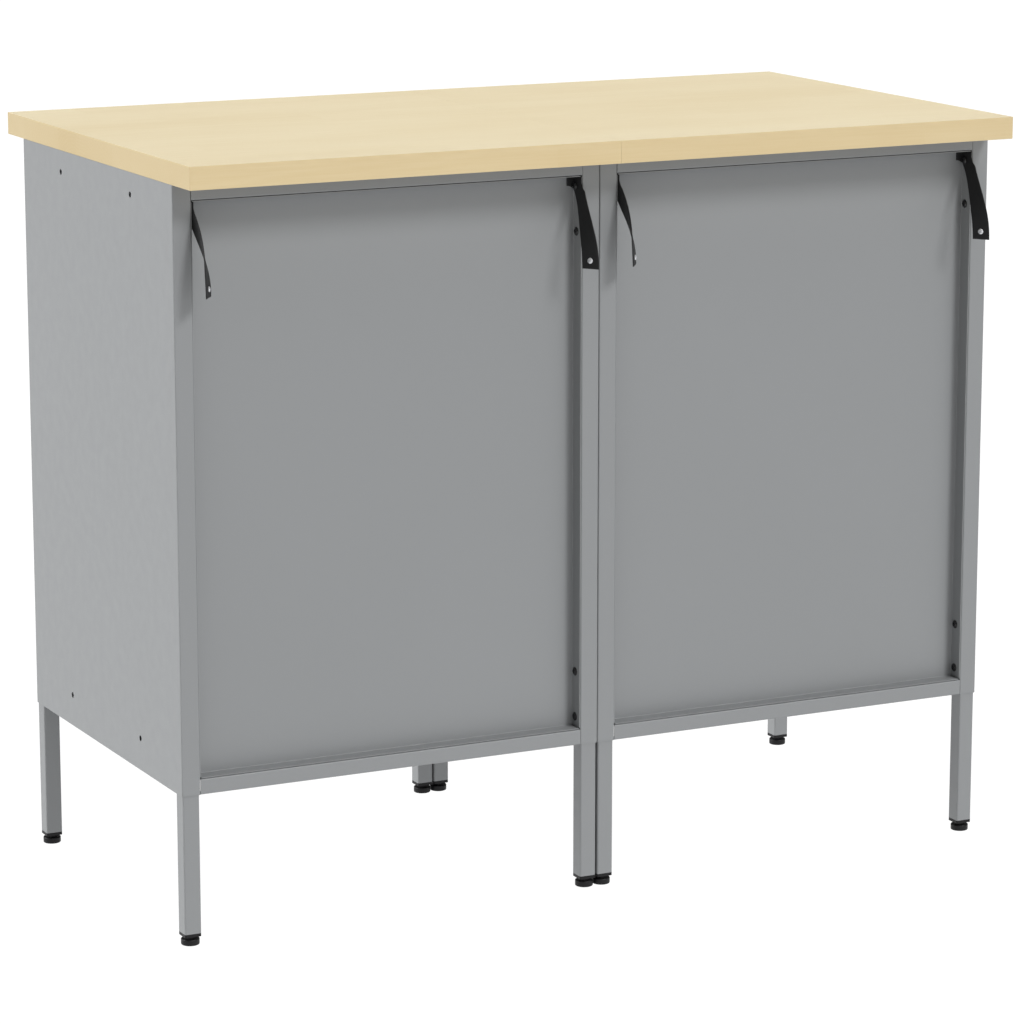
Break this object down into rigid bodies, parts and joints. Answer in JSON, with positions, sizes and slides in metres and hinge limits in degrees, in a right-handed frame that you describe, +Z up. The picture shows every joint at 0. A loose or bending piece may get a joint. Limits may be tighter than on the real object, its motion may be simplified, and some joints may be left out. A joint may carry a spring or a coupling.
{
  "type": "storage workbench",
  "caption": "Steel storage bench: two hinged-door cabinets side by side on square legs with levelling feet, under a wooden worktop, with anti-tip straps at the rear.",
  "frame": {"origin": "on the floor, under the middle of the worktop", "axes": "+X to the right seen from the doors, along the bench; +Y to the rear; +Z up"},
  "size_m": [1, 0.55, 0.85],
  "materials": {
    "grey_powder_coat": "fine satin powder coat",
    "beech_board": "clear satin lacquer",
    "black_webbing": "flat woven webbing",
    "black_plastic": "moulded satin",
    "black_screw": "black oxide",
    "black_rubber": "matt",
    "white_nylon": "smooth",
    "chrome_lock": "polished",
    "zinc_steel": "bright zinc"
  },
  "bodies": {
    "carcass": {"door_bumpers": "black_rubber", "frame_screws": "black_screw", "joining_bolts": "zinc_steel", "left_back_panel": "grey_powder_coat", "left_bottom_panel": "grey_powder_coat", "left_hinge_pins": "zinc_steel", "left_inner_front_leg": "grey_powder_coat", "left_inner_rear_leg": "grey_powder_coat", "left_inner_side_panel": "grey_powder_coat", "left_inner_strap": "black_webbing", "left_outer_front_leg": "grey_powder_coat", "left_outer_rear_leg": "grey_powder_coat", "left_outer_side_panel": "grey_powder_coat", "left_outer_strap": "black_webbing", "left_shelf": "grey_powder_coat", "left_shelf_clips": "zinc_steel", "left_shelf_uprights": "grey_powder_coat", "left_top_panel": "grey_powder_coat", "left_worktop": "beech_board", "leg_caps": "black_plastic", "right_back_panel": "grey_powder_coat", "right_bottom_panel": "grey_powder_coat", "right_hinge_pins": "zinc_steel", "right_inner_front_leg": "grey_powder_coat", "right_inner_rear_leg": "grey_powder_coat", "right_inner_side_panel": "grey_powder_coat", "right_inner_strap": "black_webbing", "right_outer_front_leg": "grey_powder_coat", "right_outer_rear_leg": "grey_powder_coat", "right_outer_side_panel": "grey_powder_coat", "right_outer_strap": "black_webbing", "right_shelf": "grey_powder_coat", "right_shelf_clips": "zinc_steel", "right_shelf_uprights": "grey_powder_coat", "right_top_panel": "grey_powder_coat", "right_worktop": "beech_board", "strap_end_screws": "zinc_steel", "worktop_screws": "zinc_steel"},
    "right_door": {"right_door_skin": "grey_powder_coat", "right_door_inner_panel": "grey_powder_coat", "right_hinge_bushes": "white_nylon", "right_door_handle": "black_plastic", "right_handle_screws": "zinc_steel", "right_lock_body": "chrome_lock"},
    "right_lock": {"right_lock_plug": "zinc_steel"},
    "left_door": {"left_door_skin": "grey_powder_coat", "left_door_inner_panel": "grey_powder_coat", "left_hinge_bushes": "white_nylon", "left_door_handle": "black_plastic", "left_handle_screws": "zinc_steel", "left_lock_body": "chrome_lock"},
    "left_lock": {"left_lock_plug": "zinc_steel"},
    "right_inner_front_foot": {"right_inner_front_foot": "black_plastic"},
    "right_inner_rear_foot": {"right_inner_rear_foot": "black_plastic"},
    "right_outer_front_foot": {"right_outer_front_foot": "black_plastic"},
    "right_outer_rear_foot": {"right_outer_rear_foot": "black_plastic"},
    "left_inner_front_foot": {"left_inner_front_foot": "black_plastic"},
    "left_inner_rear_foot": {"left_inner_rear_foot": "black_plastic"},
    "left_outer_front_foot": {"left_outer_front_foot": "black_plastic"},
    "left_outer_rear_foot": {"left_outer_rear_foot": "black_plastic"}
  },
  "joints": [
    {"name": "right_door_hinge", "type": "hinge", "parent": "carcass", "child": "right_door", "pos_m": [0.4683, -0.219, 0.168], "axis": [0, 0, 1], "range_deg": [0, 110]},
    {"name": "right_lock_turn", "type": "hinge", "parent": "right_door", "child": "right_lock", "pos_m": [0.0459, -0.225, 0.478], "axis": [0, 1, 0], "range_deg": [0, 90]},
    {"name": "left_door_hinge", "type": "hinge", "parent": "carcass", "child": "left_door", "pos_m": [-0.4683, -0.219, 0.168], "axis": [0, 0, -1], "range_deg": [0, 110]},
    {"name": "left_lock_turn", "type": "hinge", "parent": "left_door", "child": "left_lock", "pos_m": [-0.0459, -0.225, 0.478], "axis": [0, -1, 0], "range_deg": [0, 90]},
    {"name": "right_inner_front_foot_screw", "type": "slide", "parent": "carcass", "child": "right_inner_front_foot", "axis": [0, 0, -1], "range_m": [0, 0.01]},
    {"name": "right_inner_rear_foot_screw", "type": "slide", "parent": "carcass", "child": "right_inner_rear_foot", "axis": [0, 0, -1], "range_m": [0, 0.01]},
    {"name": "right_outer_front_foot_screw", "type": "slide", "parent": "carcass", "child": "right_outer_front_foot", "axis": [0, 0, -1], "range_m": [0, 0.01]},
    {"name": "right_outer_rear_foot_screw", "type": "slide", "parent": "carcass", "child": "right_outer_rear_foot", "axis": [0, 0, -1], "range_m": [0, 0.01]},
    {"name": "left_inner_front_foot_screw", "type": "slide", "parent": "carcass", "child": "left_inner_front_foot", "axis": [0, 0, -1], "range_m": [0, 0.01]},
    {"name": "left_inner_rear_foot_screw", "type": "slide", "parent": "carcass", "child": "left_inner_rear_foot", "axis": [0, 0, -1], "range_m": [0, 0.01]},
    {"name": "left_outer_front_foot_screw", "type": "slide", "parent": "carcass", "child": "left_outer_front_foot", "axis": [0, 0, -1], "range_m": [0, 0.01]},
    {"name": "left_outer_rear_foot_screw", "type": "slide", "parent": "carcass", "child": "left_outer_rear_foot", "axis": [0, 0, -1], "range_m": [0, 0.01]}
  ]
}
